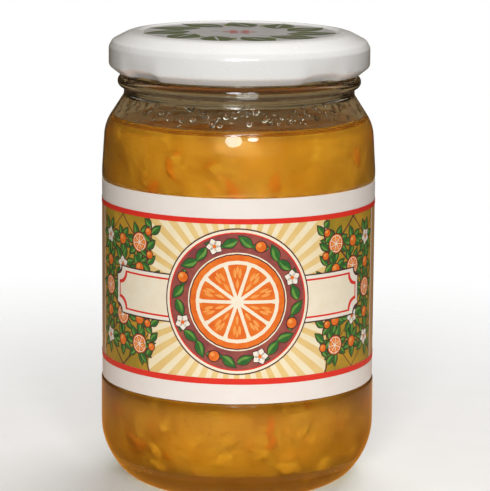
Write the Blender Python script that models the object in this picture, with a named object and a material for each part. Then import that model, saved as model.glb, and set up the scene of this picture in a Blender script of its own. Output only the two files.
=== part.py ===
"""A shut jar of marmalade: clear glass, a twist-off metal lid, a wrap-round paper label and the marmalade inside.

The frame is in metres with +Z up. The origin is the centre of the jar's foot, on the surface that it stands on.
The front of the label faces -Y. Every round piece is turned from an outline of (radius, height) corners in
millimetres, each corner with the radius that rounds it.
"""

import math

import bmesh
import bpy
from mathutils import Vector

MM = 0.001

# Driving dimensions, in millimetres
BODY_R = 37.5  # outside of the glass body, above the label
HEEL_R = 37.75  # and below it, where jars in a row touch each other first
WALL = 2.6  # glass thickness of the body
FLOOR_Z = 4.0  # top of the glass base, inside
FLOOR_R = 29.6  # where the inside's floor and its sloping heel would meet
PUSH_UP_R = 16.5  # hollow under the base: its radius
PUSH_UP_Z = 2.0  # and its height
STAND_R = 20.0  # where the ring that the jar stands on starts
HEEL_SLOPE = math.radians(35)  # of the line that the heel's two roundings meet on, from the upright
FOOT_R = 30.2  # where that line would reach the ground
BODY_TOP_Z = 87.0  # where the upright side starts to lean in towards the shoulder
SHOULDER_R = 36.7  # outside of the glass where the sloping shoulder starts
SHOULDER_Z = 99.3  # and its height
SHOULDER_SLOPE = math.radians(32.8)  # of the shoulder, from the upright
INNER_SHOULDER_Z = 97.7  # where the inside's upright side and its shoulder would meet
INNER_HEEL_Z = 12.0  # and its upright side and its sloping heel
NECK_R = 31.5  # outside of the neck, just above the shoulder
BEAD_R = 33.2  # outside of the bead round the neck
BEAD_Z = (109.4, 112.6)  # the bead's lower and upper edge
FINISH_R = 30.6  # outside of the mouth, under the lid
MOUTH_R = 28.2  # inside of the mouth
RIM_Z = 123.4  # top of the glass

LABEL_Z = (29.5, 84.5)  # lower and upper edge of the paper
LABEL_PAPER = 0.15  # thickness of the paper with its glue
LABEL_RECESS = 0.4  # depth of the label panel in the glass
LABEL_GAP = 0.3  # between the glass and the label
LABEL_OPENING = 8.0  # width of glass left bare at the back, between the label's ends

LEVEL_Z = 100.6  # top of the marmalade
LEVEL_CLIMB = 0.5  # how much higher it stands at the wall
FILL_GAP = 0.3  # between the marmalade and the glass

LID_R = 35.6  # outside of the skirt
LID_TOP_Z = 124.7  # top of the lid's raised ring
LID_PANEL_Z = 124.2  # the sunken middle of the lid
LID_PANEL_R = 26.6  # where the sunken middle ends
LID_SHEET = 0.6  # thickness of the sheet metal
LID_FOOT_Z = 113.4  # lowest point of the skirt's rolled edge
LUGS = 4  # places where the rolled edge is pressed in to grip the thread
LUG_AT = 40.5  # degrees from the front, to the right, of the first one
LUG_HALF_WIDTH = 13.0  # degrees
LUG_DEPTH = 0.9  # how far the edge is pressed in there
LUG_LIFT = 0.35  # and how far that draws it up
LUG_TOP_Z = 117.5  # where the pressing in starts
LUG_SLOPE_LENGTH = 2.5  # height over which it grows to its full depth

GLASS_SIDES = 52
LID_SIDES = 64
ARC_ERROR = 0.07  # the most that a straight stretch of a rounded corner leaves its arc


def clear_scene():
    for obj in list(bpy.data.objects):
        bpy.data.objects.remove(obj, do_unlink=True)


def rounded(corners):
    """The outline through these (radius, height, rounding) corners, with each rounded corner as an arc."""
    outline = []
    for index, (r, z, rounding) in enumerate(corners):
        here = Vector((r, z))
        if rounding == 0:
            outline.append(here)
            continue
        to_last = (Vector(corners[index - 1][:2]) - here).normalized()
        to_next = (Vector(corners[index + 1][:2]) - here).normalized()
        half = to_last.angle(to_next) / 2
        middle = here + (to_last + to_next).normalized() * (rounding / math.sin(half))
        first = here + to_last * (rounding / math.tan(half)) - middle
        turn = math.pi - 2 * half
        if first.x * to_next.y - first.y * to_next.x < 0:
            turn = -turn
        largest_step = 2 * math.acos(1 - min(1.0, ARC_ERROR / rounding))
        steps = max(1, math.ceil(abs(turn) / largest_step))
        for step in range(steps + 1):
            angle = turn * step / steps
            turned = Vector((
                first.x * math.cos(angle) - first.y * math.sin(angle),
                first.x * math.sin(angle) + first.y * math.cos(angle),
            ))
            outline.append(middle + turned)
    return outline


def turned_mesh(name, outline, sides, shift=None):
    """A mesh turned from an outline that starts and ends on the axis.

    shift(angle, r, z) may move a point: it gives the new (r, z). Angle 0 is the front, growing to the right.
    """
    mesh = bmesh.new()
    rings = []
    for point in outline:
        if point.x < 1e-6:
            rings.append([mesh.verts.new((0, 0, point.y * MM))])
            continue
        ring = []
        for side in range(sides):
            angle = 2 * math.pi * side / sides
            r, z = shift(angle, point.x, point.y) if shift else point
            ring.append(mesh.verts.new((r * MM * math.sin(angle), -r * MM * math.cos(angle), z * MM)))
        rings.append(ring)
    for low, high in zip(rings, rings[1:]):
        for side in range(sides):
            after = (side + 1) % sides
            if len(low) == 1:
                mesh.faces.new((low[0], high[side], high[after]))
            elif len(high) == 1:
                mesh.faces.new((low[side], high[0], low[after]))
            else:
                mesh.faces.new((low[side], high[side], high[after], low[after]))
    bmesh.ops.recalc_face_normals(mesh, faces=mesh.faces[:])
    data = bpy.data.meshes.new(name)
    mesh.to_mesh(data)
    mesh.free()
    return data


def add_object(name, data, material):
    obj = bpy.data.objects.new(name, data)
    bpy.context.scene.collection.objects.link(obj)
    data.materials.append(material)
    data.shade_smooth()
    data.set_sharp_from_angle(angle=math.radians(35))
    return obj


def plain_material(name, colour, roughness, metallic=0.0, transmission=0.0):
    material = bpy.data.materials.new(name)
    material.use_nodes = True
    shader = material.node_tree.nodes["Principled BSDF"]
    shader.inputs["Base Color"].default_value = (*colour, 1)
    shader.inputs["Roughness"].default_value = roughness
    shader.inputs["Metallic"].default_value = metallic
    shader.inputs["Transmission Weight"].default_value = transmission
    return material


def shoulder_z(r, corner_r, corner_z):
    """Height at radius r of the sloping shoulder that leaves an upright side at this corner."""
    return corner_z + (corner_r - r) / math.tan(SHOULDER_SLOPE)


def build_glass():
    """The jar: foot ring, round heel, body with a label panel, shoulder, beaded neck and mouth, with its inside."""
    panel_r = BODY_R - LABEL_RECESS
    panel_low = LABEL_Z[0] - LABEL_GAP
    panel_high = LABEL_Z[1] + LABEL_GAP
    outside = [
        (0, PUSH_UP_Z, 0),
        (PUSH_UP_R, PUSH_UP_Z, 4.0),
        (STAND_R, 0, 0),
        (FOOT_R, 0, 12.0),
        (HEEL_R, (HEEL_R - FOOT_R) / math.tan(HEEL_SLOPE), 20.0),
        (HEEL_R, panel_low - LABEL_RECESS, 0),
        (panel_r, panel_low, 0),
        (panel_r, panel_high, 0),
        (BODY_R, panel_high + LABEL_RECESS, 0),
        (BODY_R, BODY_TOP_Z, 40.0),
        (SHOULDER_R, SHOULDER_Z, 11.0),
        (NECK_R, shoulder_z(NECK_R, SHOULDER_R, SHOULDER_Z), 1.5),
        (NECK_R, BEAD_Z[0], 0),
        (BEAD_R, BEAD_Z[0], 1.5),
        (BEAD_R, BEAD_Z[1], 1.5),
        (FINISH_R, BEAD_Z[1], 0),
        (FINISH_R, RIM_Z, 1.1),
    ]
    inner_r = BODY_R - WALL
    inside = [
        (MOUTH_R, RIM_Z, 1.1),
        (MOUTH_R, shoulder_z(MOUTH_R, inner_r, INNER_SHOULDER_Z), 4.0),
        (inner_r, INNER_SHOULDER_Z, 12.0),
        (inner_r, INNER_HEEL_Z, 20.0),
        (FLOOR_R, FLOOR_Z, 11.0),
        (0, FLOOR_Z, 0),
    ]
    data = turned_mesh("jar_glass", rounded(outside + inside), GLASS_SIDES)
    return add_object("jar_glass", data, plain_material("clear glass", (0.93, 0.96, 0.93), 0.02, transmission=1.0))


def build_marmalade():
    """The marmalade up to its level, with a slightly lumpy top that climbs a little at the wall."""
    wall_r = BODY_R - WALL - FILL_GAP
    corner_z = INNER_SHOULDER_Z - FILL_GAP / 2
    edge_z = LEVEL_Z + LEVEL_CLIMB
    edge_r = wall_r - (edge_z - corner_z) * math.tan(SHOULDER_SLOPE)
    side = [
        (0, FLOOR_Z + FILL_GAP, 0),
        (FLOOR_R - FILL_GAP / 2, FLOOR_Z + FILL_GAP, 11.0 - FILL_GAP),
        (wall_r, INNER_HEEL_Z + FILL_GAP / 2, 20.0 - FILL_GAP),
        (wall_r, corner_z, 12.0 - FILL_GAP),
        (edge_r, edge_z, 0),
    ]
    top_rings = (edge_r - 1.2, edge_r - 3.5, 22.0, 15.0, 8.0)
    top = [(r, LEVEL_Z, 0) for r in top_rings] + [(0, LEVEL_Z + 0.2, 0)]

    def lumps(angle, r, z):
        if abs(z - LEVEL_Z) > 0.01:
            return r, z
        bump = 0.35 * math.sin(3 * angle + 0.22 * r) + 0.25 * math.cos(5 * angle - 0.31 * r)
        return r, z + bump * math.sin(math.pi * (r / edge_r) ** 2)

    data = turned_mesh("marmalade", rounded(side + top), GLASS_SIDES, shift=lumps)
    return add_object("marmalade", data, plain_material("amber marmalade", (0.62, 0.27, 0.03), 0.25))


def build_label():
    """The paper label, wrapped round the body from the back, with its ends a little apart."""
    inner = BODY_R - LABEL_RECESS + LABEL_GAP
    outer = inner + LABEL_PAPER
    start = LABEL_OPENING / 2 / BODY_R
    mesh = bmesh.new()
    sections = []
    for step in range(GLASS_SIDES + 1):
        angle = math.pi + start + (2 * math.pi - 2 * start) * step / GLASS_SIDES
        sections.append([
            mesh.verts.new((r * MM * math.sin(angle), -r * MM * math.cos(angle), z * MM))
            for r, z in ((inner, LABEL_Z[0]), (outer, LABEL_Z[0]), (outer, LABEL_Z[1]), (inner, LABEL_Z[1]))
        ])
    for one, other in zip(sections, sections[1:]):
        for corner in range(4):
            after = (corner + 1) % 4
            mesh.faces.new((one[corner], one[after], other[after], other[corner]))
    mesh.faces.new(sections[0])
    mesh.faces.new(sections[-1])
    bmesh.ops.recalc_face_normals(mesh, faces=mesh.faces[:])
    data = bpy.data.meshes.new("label")
    mesh.to_mesh(data)
    mesh.free()
    return add_object("label", data, plain_material("printed paper", (0.80, 0.62, 0.34), 0.55))


def inner_side(corners, thickness):
    """These corners moved in by a sheet's thickness, to the right of the way that they run."""
    moved = []
    for index, (r, z, rounding) in enumerate(corners):
        here = Vector((r, z))
        last = Vector(corners[max(index - 1, 0)][:2])
        after = Vector(corners[min(index + 1, len(corners) - 1)][:2])
        first_way = (here - last).normalized() if index > 0 else (after - here).normalized()
        next_way = (after - here).normalized() if index < len(corners) - 1 else first_way
        sideways = Vector((first_way.y, -first_way.x)) + Vector((next_way.y, -next_way.x))
        place = here + sideways * (thickness * 2 / sideways.length_squared)
        left_turn = first_way.x * next_way.y - first_way.y * next_way.x > 0
        moved.append((place.x, place.y, max(0.2, rounding + (thickness if left_turn else -thickness))))
    return moved


def build_lid():
    """The twist-off lid: sunken panel, raised ring, round shoulder, skirt and a rolled edge pressed in at the lugs."""
    sheet = [
        (0, LID_PANEL_Z, 0),
        (LID_PANEL_R, LID_PANEL_Z, 0.9),
        (LID_PANEL_R + 1.1, LID_TOP_Z, 0.9),
        (30.5, LID_TOP_Z - 0.4, 6.0),
        (LID_R - 0.9, LID_TOP_Z - 2.6, 1.6),
        (LID_R, LID_TOP_Z - 4.3, 1.6),
        (LID_R, 115.4, 1.4),
        (33.1, LID_FOOT_Z, 0.5),
    ]
    roll = [
        (32.0, LID_FOOT_Z, 0.35),
        (32.0, LID_FOOT_Z + 1.3, 0),
    ]
    under = inner_side(sheet, LID_SHEET)[-2::-1]
    under[-1] = (*under[-1][:2], 0)
    half_width = math.radians(LUG_HALF_WIDTH)

    def lugs(angle, r, z):
        if z > LUG_TOP_Z:
            return r, z
        reach = min(1.0, (LUG_TOP_Z - z) / LUG_SLOPE_LENGTH)
        nearest = min(
            abs((angle - math.radians(LUG_AT + 360 / LUGS * lug) + math.pi) % (2 * math.pi) - math.pi)
            for lug in range(LUGS)
        )
        press = max(0.0, 1 - (nearest / half_width) ** 4)
        return r - LUG_DEPTH * reach * press, z + LUG_LIFT * reach * press

    data = turned_mesh("lid", rounded(sheet + roll + under), LID_SIDES, shift=lugs)
    return add_object("lid", data, plain_material("white lacquered steel", (0.86, 0.86, 0.85), 0.25))


def main():
    clear_scene()
    build_glass()
    build_marmalade()
    build_label()
    build_lid()


main()
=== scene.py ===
# %% [markdown]
# # A jar of orange marmalade
# A shut glass jar, filled to the shoulder, with a white twist-off lid and a printed paper label all round.
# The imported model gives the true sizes. Each cell below dresses one part of it with a finer mesh and a
# finish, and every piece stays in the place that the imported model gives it.

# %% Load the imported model
import math
import random

import bmesh
import bpy
from mathutils import Matrix, Vector


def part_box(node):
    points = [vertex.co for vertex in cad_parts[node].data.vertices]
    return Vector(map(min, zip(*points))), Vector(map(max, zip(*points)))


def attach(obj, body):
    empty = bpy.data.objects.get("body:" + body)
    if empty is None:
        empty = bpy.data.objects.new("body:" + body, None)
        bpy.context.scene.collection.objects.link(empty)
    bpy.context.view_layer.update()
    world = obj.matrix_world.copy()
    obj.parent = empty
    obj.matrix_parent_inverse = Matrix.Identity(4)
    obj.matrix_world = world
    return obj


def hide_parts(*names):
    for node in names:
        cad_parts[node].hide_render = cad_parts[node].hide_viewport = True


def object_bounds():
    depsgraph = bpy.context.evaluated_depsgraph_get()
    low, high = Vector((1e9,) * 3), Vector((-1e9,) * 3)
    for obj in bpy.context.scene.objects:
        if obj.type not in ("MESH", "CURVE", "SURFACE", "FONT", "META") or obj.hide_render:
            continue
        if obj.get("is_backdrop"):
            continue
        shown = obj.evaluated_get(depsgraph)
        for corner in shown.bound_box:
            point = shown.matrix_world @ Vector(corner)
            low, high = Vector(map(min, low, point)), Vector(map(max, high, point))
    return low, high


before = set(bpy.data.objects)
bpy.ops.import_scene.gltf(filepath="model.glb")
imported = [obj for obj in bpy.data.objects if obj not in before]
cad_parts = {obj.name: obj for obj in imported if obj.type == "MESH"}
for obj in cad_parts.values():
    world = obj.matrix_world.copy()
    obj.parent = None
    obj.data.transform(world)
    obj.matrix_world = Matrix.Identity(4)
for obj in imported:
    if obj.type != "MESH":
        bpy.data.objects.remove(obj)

MM = 0.001
cad_box = [list(corner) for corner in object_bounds()]
print("packed nodes:", sorted(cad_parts))

# %% [markdown]
# ## Sizes
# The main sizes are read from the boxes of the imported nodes, in millimetres, so that the fine meshes and the
# plain ones can't drift apart. The finer ones, such as the thickness of the glass, come in where their piece
# is made.

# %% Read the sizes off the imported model
glass_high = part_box("jar_glass")[1] / MM
label_low, label_high = (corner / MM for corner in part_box("label"))
lid_low, lid_high = (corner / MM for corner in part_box("lid"))

HEEL_R = glass_high.x
BODY_R = HEEL_R - 0.25
RIM_Z = glass_high.z
LABEL_R = -label_low.y
LABEL_Z = (label_low.z, label_high.z)
LID_R = lid_high.x
LID_TOP_Z = lid_high.z
LID_FOOT_Z = lid_low.z
print(f"body {2 * BODY_R:.1f} mm wide, rim at {RIM_Z:.1f} mm, label {LABEL_Z[0]:.1f} to {LABEL_Z[1]:.1f} mm")

# %% [markdown]
# ## The camera
# The photograph was taken from a little above the lid, about 0.7 m away, with a long lens that looks down by
# ten degrees. Its distance and tilt were worked out from the two round edges of the label: the lower one
# curves more than the upper one, and by how much says how far away and how high the camera stood.

# %% Place the camera
IMAGE_SIZE = (490, 491)
SENSOR = 36  # mm
FOCAL_PIXELS = 2489
CAMERA_DISTANCE = 0.676  # metres from the jar's axis, level
CAMERA_HEIGHT = 0.1931
CAMERA_PITCH = math.radians(10.722)
CAMERA_ROLL = math.radians(0.45)
AXIS_COLUMN = 238.0  # where the jar's axis crosses the middle row of the picture

camera_data = bpy.data.cameras.new("camera")
camera_data.sensor_width = SENSOR
camera_data.lens = FOCAL_PIXELS / max(IMAGE_SIZE) * SENSOR
camera_data.clip_start = 0.01
camera = bpy.data.objects.new("camera", camera_data)
bpy.context.scene.collection.objects.link(camera)
ahead = Vector((0, math.cos(CAMERA_PITCH), -math.sin(CAMERA_PITCH)))
level = Vector((1, 0, 0))
upward = level.cross(ahead)
right = level * math.cos(CAMERA_ROLL) + upward * math.sin(CAMERA_ROLL)
above = upward * math.cos(CAMERA_ROLL) - level * math.sin(CAMERA_ROLL)
camera.matrix_world = Matrix((right, above, -ahead)).transposed().to_4x4()
sideways = (IMAGE_SIZE[0] / 2 - AXIS_COLUMN) / FOCAL_PIXELS * CAMERA_DISTANCE
camera.location = (sideways, -CAMERA_DISTANCE, CAMERA_HEIGHT)
bpy.context.scene.camera = camera
print(f"camera with a {camera_data.lens:.0f} mm lens")


# %% [markdown]
# ## Node helpers
# Materials are made of nodes. They could be drawn by hand in the node editor, but in a script three small
# helpers keep them short: one turns a colour as it looks on a screen, 0 to 255, into the linear values that
# a shader needs, one adds a node and sets or links its inputs, and one starts a material.

# %% Helpers for colours and nodes
def linear(red, green, blue):
    def one(value):
        value /= 255
        return value / 12.92 if value <= 0.04045 else ((value + 0.055) / 1.055) ** 2.4
    return one(red), one(green), one(blue), 1.0


def add_node(tree, kind, inputs=None, **settings):
    node = tree.nodes.new(kind)
    for key, value in settings.items():
        setattr(node, key, value)
    for key, value in (inputs or {}).items():
        if isinstance(value, bpy.types.NodeSocket):
            tree.links.new(value, node.inputs[key])
        else:
            node.inputs[key].default_value = value
    return node


def new_material(name, **values):
    """A material whose Principled shader has these socket values, written with underscores for spaces."""
    material = bpy.data.materials.new(name)
    material.use_nodes = True
    shader = material.node_tree.nodes["Principled BSDF"]
    for key, value in values.items():
        shader.inputs[key.replace("_", " ")].default_value = value
    return material, material.node_tree, shader


WHITE, BLACK = (1, 1, 1, 1), (0, 0, 0, 1)
print("a mid grey of 128 is", round(linear(128, 128, 128)[0], 3), "in linear light")


# %% [markdown]
# ## Shared surface effects
# No real surface is one flat colour. The group "mottle" shifts a colour a little towards another in soft
# patches, and also gives those patches as a mask and as a height. Each material could have its own noise
# nodes, but a group keeps them all alike: the paper, the inks, the lacquer, the peel, the marmalade, the
# glass and the floor all use it, each with its own patch size and strength.

# %% Build the mottle group
def build_mottle():
    group = bpy.data.node_groups.new("mottle", "ShaderNodeTree")
    face = group.interface
    for name, kind, value in (
        ("Colour", "NodeSocketColor", WHITE),
        ("Other Colour", "NodeSocketColor", BLACK),
        ("Patches per Metre", "NodeSocketFloat", 100.0),
        ("Strength", "NodeSocketFloat", 0.2),
    ):
        face.new_socket(name, in_out="INPUT", socket_type=kind).default_value = value
    face.new_socket("Colour", in_out="OUTPUT", socket_type="NodeSocketColor")
    face.new_socket("Mask", in_out="OUTPUT", socket_type="NodeSocketFloat")
    face.new_socket("Height", in_out="OUTPUT", socket_type="NodeSocketFloat")
    given = group.nodes.new("NodeGroupInput")
    place = add_node(group, "ShaderNodeTexCoord")
    noise = add_node(group, "ShaderNodeTexNoise", {
        "Vector": place.outputs["Object"], "Scale": given.outputs["Patches per Metre"],
        "Detail": 4.0, "Roughness": 0.6,
    })
    spread = add_node(group, "ShaderNodeMapRange", {
        "Value": noise.outputs["Fac"], "From Min": 0.34, "From Max": 0.66,
    }, clamp=True)
    amount = add_node(group, "ShaderNodeMath", {
        0: spread.outputs["Result"], 1: given.outputs["Strength"],
    }, operation="MULTIPLY")
    # A colour mix has its colour sockets, 6 and 7, after the number and vector ones.
    mix = add_node(group, "ShaderNodeMix", {
        "Factor": amount.outputs[0], 6: given.outputs["Colour"], 7: given.outputs["Other Colour"],
    }, data_type="RGBA")
    add_node(group, "NodeGroupOutput", {
        "Colour": mix.outputs[2], "Mask": spread.outputs["Result"], "Height": noise.outputs["Fac"],
    })
    return group


MOTTLE = build_mottle()
print("mottle group outputs:", [item.name for item in MOTTLE.interface.items_tree if item.in_out == "OUTPUT"])


# %% [markdown]
# Three more helpers put the group to work in a material: as its colour, and as a fine bump. A bump only
# turns the light a little, which is right for a grain far finer than the mesh. The last helper shows one of
# two shaders, which the floor and the glass need.

# %% Helpers that use the mottle group
def add_mottle(tree, colour, other, patches, strength):
    return add_node(tree, "ShaderNodeGroup", {
        "Colour": colour, "Other Colour": other, "Patches per Metre": patches, "Strength": strength,
    }, node_tree=MOTTLE)


def paint(tree, shader, colour, other, patches, strength):
    """Colours the shader with a mottle of two colours."""
    mottle = add_mottle(tree, colour, other, patches, strength)
    tree.links.new(mottle.outputs["Colour"], shader.inputs["Base Color"])
    return mottle


def add_bump(tree, shader, mottle, strength, distance):
    bump = add_node(tree, "ShaderNodeBump", {
        "Height": mottle.outputs["Height"], "Strength": strength, "Distance": distance,
    })
    tree.links.new(bump.outputs["Normal"], shader.inputs["Normal"])


def show_mix(tree, share, shader, other):
    """Shows the shader where the share is 0, and the other one where it is 1."""
    mix = add_node(tree, "ShaderNodeMixShader", {"Fac": share, 1: shader.outputs[0], 2: other.outputs[0]})
    tree.links.new(mix.outputs[0], tree.nodes["Material Output"].inputs["Surface"])


print("helpers for colour, bump and mixed shaders are ready")


# %% [markdown]
# ## Turned meshes
# Almost every piece of the jar is round. A Screw modifier could turn a drawn curve, but an outline in numbers
# lets the glass, the jelly and the core share the same lines. An outline is a row of corners, each with its
# radius, its height and the radius that rounds it. A rounded corner becomes an arc that touches both of its
# neighbours, split finely enough that its straight stretches can't be seen.

# %% Helper that rounds the corners of an outline
ARC_ERROR = 0.01  # mm between an arc and its straight stretches


def rounded(corners):
    """The outline through (radius, height, rounding) corners, with each rounded corner as an arc."""
    outline = []
    for index, (r, z, rounding) in enumerate(corners):
        here = Vector((r, z))
        if rounding == 0:
            outline.append(here)
            continue
        to_last = (Vector(corners[index - 1][:2]) - here).normalized()
        to_next = (Vector(corners[index + 1][:2]) - here).normalized()
        half = to_last.angle(to_next) / 2
        middle = here + (to_last + to_next).normalized() * (rounding / math.sin(half))
        first = here + to_last * (rounding / math.tan(half)) - middle
        turn = math.pi - 2 * half
        if first.x * to_next.y - first.y * to_next.x < 0:
            turn = -turn
        steps = max(2, math.ceil(abs(turn) / (2 * math.acos(1 - min(1.0, ARC_ERROR / rounding)))))
        for step in range(steps + 1):
            outline.append(middle + Matrix.Rotation(turn * step / steps, 2) @ first)
    return outline


print("a 1 mm rounding of a square corner has", len(rounded([(0, 0, 0), (5, 0, 1), (5, 5, 0)])) - 2, "points")


# %% [markdown]
# Points are easiest to place by their distance from the jar's axis, the angle round it and the height. A
# finished mesh is shaded smooth, but for edges sharper than 40 degrees, such as the rim of the paper.

# %% Helpers for points and finished meshes
SHARP_EDGE = math.radians(40)


def on_cylinder(r, angle, z):
    """A point in metres. Angle 0 is the front, growing to the right; r and z are in millimetres."""
    return Vector((r * math.sin(angle), -r * math.cos(angle), z)) * MM


def finish_mesh(name, mesh):
    data = bpy.data.meshes.new(name)
    mesh.to_mesh(data)
    mesh.free()
    data.shade_smooth()
    data.set_sharp_from_angle(angle=SHARP_EDGE)
    piece = bpy.data.objects.new(name, data)
    bpy.context.scene.collection.objects.link(piece)
    return piece


print("the front of the body is at", [round(v, 4) for v in on_cylinder(BODY_R, 0, 0)], "m")


# %% [markdown]
# The outline is then turned about the jar's axis, in 240 steps for a fine round edge. A piece can pass its
# own "shift", which moves each point a little: that is how the seams, the soft top of the marmalade and the
# lid's lugs come in.

# %% Helper that turns an outline
FINE_SIDES = 240


def turned(name, outline, sides=FINE_SIDES, shift=None):
    """An object turned from an outline that starts and ends on the axis, or is a closed ring's section."""
    mesh = bmesh.new()
    rings = []
    for point in outline:
        if point.x < 1e-6:
            rings.append([mesh.verts.new((0, 0, point.y * MM))])
            continue
        ring = []
        for side in range(sides):
            angle = 2 * math.pi * side / sides
            r, z = shift(angle, point.x, point.y) if shift else point
            ring.append(mesh.verts.new(on_cylinder(r, angle, z)))
        rings.append(ring)
    pairs = list(zip(rings, rings[1:]))
    if len(rings[0]) > 1:
        pairs.append((rings[-1], rings[0]))
    for low, high in pairs:
        for side in range(sides):
            after = (side + 1) % sides
            if len(low) == 1:
                mesh.faces.new((low[0], high[side], high[after]))
            elif len(high) == 1:
                mesh.faces.new((low[side], high[0], low[after]))
            else:
                mesh.faces.new((low[side], high[side], high[after], low[after]))
    bmesh.ops.recalc_face_normals(mesh, faces=mesh.faces[:])
    return finish_mesh(name, mesh)


print("turned pieces have", FINE_SIDES, "sides")


# %% [markdown]
# Every piece gets its material and rides on the jar's one body. The imported nodes that it stands for, if any,
# are hidden; their meshes stay as they are.

# %% Helper that dresses a piece
def dress(piece, material, slot, *nodes):
    piece.data.materials.append(material)
    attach(piece, "root")
    if nodes:
        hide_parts(*nodes)
    print(f"{piece.name}: {len(piece.data.polygons)} faces")


print("pieces ride on root")


# %% [markdown]
# ## The floor
# The real jar was cut out of its picture and stands on plain white. Here it gets a pale disc that fades out
# on all sides, with only the jar's soft shadow on it: a plane would show its edge in other views. Glass shows
# much of what lies below it, and a table close to a jar of marmalade is lit amber through it. So to rays that
# come by way of the glass, the disc near the jar has a plain amber glow.

# %% Lay the floor
FLOOR_RADIUS = 0.34
FADE_FROM, FADE_TO = 0.05, FLOOR_RADIUS * 0.9
TABLE_GLOW = linear(215, 138, 48)


def make_floor_material():
    material, tree, shader = new_material("pale floor", Roughness=0.7)
    paint(tree, shader, linear(250, 250, 248), linear(246, 246, 243), 60.0, 0.5)
    place = add_node(tree, "ShaderNodeTexCoord")
    across = add_node(tree, "ShaderNodeVectorMath", {0: place.outputs["Object"]}, operation="LENGTH")
    fade = add_node(tree, "ShaderNodeMapRange", {
        "Value": across.outputs["Value"], "From Min": FADE_FROM, "From Max": FADE_TO,
        "To Min": 1.0, "To Max": 0.0,
    }, interpolation_type="SMOOTHSTEP")
    tree.links.new(fade.outputs["Result"], shader.inputs["Alpha"])
    rays = add_node(tree, "ShaderNodeLightPath")
    by_glass = add_node(tree, "ShaderNodeMath", {
        0: rays.outputs["Is Glossy Ray"], 1: rays.outputs["Is Transmission Ray"],
    }, operation="MAXIMUM")
    near_jar = add_node(tree, "ShaderNodeMath", {
        0: by_glass.outputs[0], 1: fade.outputs["Result"],
    }, operation="MULTIPLY")
    glow = add_node(tree, "ShaderNodeEmission", {"Color": TABLE_GLOW, "Strength": 1.0})
    show_mix(tree, near_jar.outputs[0], shader, glow)
    return material


disc_mesh = bmesh.new()
bmesh.ops.create_circle(disc_mesh, cap_ends=True, radius=FLOOR_RADIUS, segments=96)
floor = finish_mesh("floor", disc_mesh)
floor.data.materials.append(make_floor_material())
floor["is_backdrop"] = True
print("floor radius", FLOOR_RADIUS, "m")

# %% [markdown]
# ## The background
# Clear glass is drawn by the room that it mirrors and bends: in an all-white room its edges would vanish. A
# picture of a room could be used, but plain colours for each kind of ray are enough. The camera itself sees
# white. What the glass mirrors is a dim brown room, what shows through it is a lighter tan one, and the light
# that falls on everything is a warm grey. A ray that goes through glass counts as a mirrored one too, so
# the tan is mixed in after the brown.

# %% Set the background
ROOM_LIGHT = linear(98, 92, 88)
MIRRORED_ROOM = linear(80, 64, 44)
SEEN_ROOM = linear(136, 112, 82)


def build_background():
    world = bpy.data.worlds.new("studio")
    world.use_nodes = True
    tree = world.node_tree
    tree.nodes.clear()
    rays = add_node(tree, "ShaderNodeLightPath")
    surface = add_node(tree, "ShaderNodeBackground", {"Color": ROOM_LIGHT, "Strength": 1.0})
    for colour, ray in (
        (MIRRORED_ROOM, "Is Glossy Ray"), (SEEN_ROOM, "Is Transmission Ray"), (WHITE, "Is Camera Ray"),
    ):
        other = add_node(tree, "ShaderNodeBackground", {"Color": colour, "Strength": 1.0})
        surface = add_node(tree, "ShaderNodeMixShader", {
            "Fac": rays.outputs[ray], 1: surface.outputs[0], 2: other.outputs[0],
        })
    add_node(tree, "ShaderNodeOutputWorld", {"Surface": surface.outputs[0]})
    bpy.context.scene.world = world


build_background()
bpy.context.scene.view_settings.view_transform = "Standard"
print("background set, shown as", bpy.context.scene.view_settings.view_transform)


# %% [markdown]
# ## The lamps
# The photograph has broad soft light from the front, and two bright spots on the marmalade, from small lamps
# high up on both sides of the camera. One big lamp could not give both, so the soft ones don't show in the
# glass and the small ones do. A wide one above and behind lights the lid and the floor.

# %% Place the lamps
LAMP_TARGET = Vector((0, 0, 0.07))


def add_lamp(name, azimuth, elevation, distance, size, power, shines_in_glass):
    """An oval lamp that points at the jar. Azimuth is in degrees from the front, power in watts."""
    data = bpy.data.lights.new(name, "AREA")
    data.shape = "ELLIPSE"
    data.size, data.size_y = size
    data.energy = power
    lamp = bpy.data.objects.new(name, data)
    bpy.context.scene.collection.objects.link(lamp)
    around, up = math.radians(azimuth), math.radians(elevation)
    way = Vector((math.sin(around) * math.cos(up), -math.cos(around) * math.cos(up), math.sin(up)))
    lamp.location = LAMP_TARGET + way * distance
    lamp.rotation_euler = way.to_track_quat("Z", "Y").to_euler()
    lamp.visible_glossy = shines_in_glass
    lamp.visible_camera = False


add_lamp("soft_front_lamp", 8, 13, 0.85, (0.34, 0.34), 1.9, False)
add_lamp("bright_lamp_left", -5, 31, 0.80, (0.18, 0.44), 2.5, True)
add_lamp("bright_lamp_right", 13, 36, 0.80, (0.10, 0.14), 0.7, True)
add_lamp("overhead_lamp", 150, 72, 0.8, (0.5, 0.5), 4.2, False)


# %% [markdown]
# ## The glass
# The jar is pressed and blown from clear glass about 2.6 mm thick, thicker in the base and the neck. Light
# bends at both of its faces, so both are modelled. Such glass is never quite even: a weak, wide bump makes
# the reflections swim. Bent lamp light would need many rays to reach the fruit inside, so to shadow rays the
# glass is plainly see-through.

# %% Make the clear glass material
def see_through(tree, shader, tint):
    """Lets lamp light through the material's faces, coloured by a tint."""
    rays = add_node(tree, "ShaderNodeLightPath")
    open_air = add_node(tree, "ShaderNodeBsdfTransparent", {"Color": tint})
    show_mix(tree, rays.outputs["Is Shadow Ray"], shader, open_air)


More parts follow.
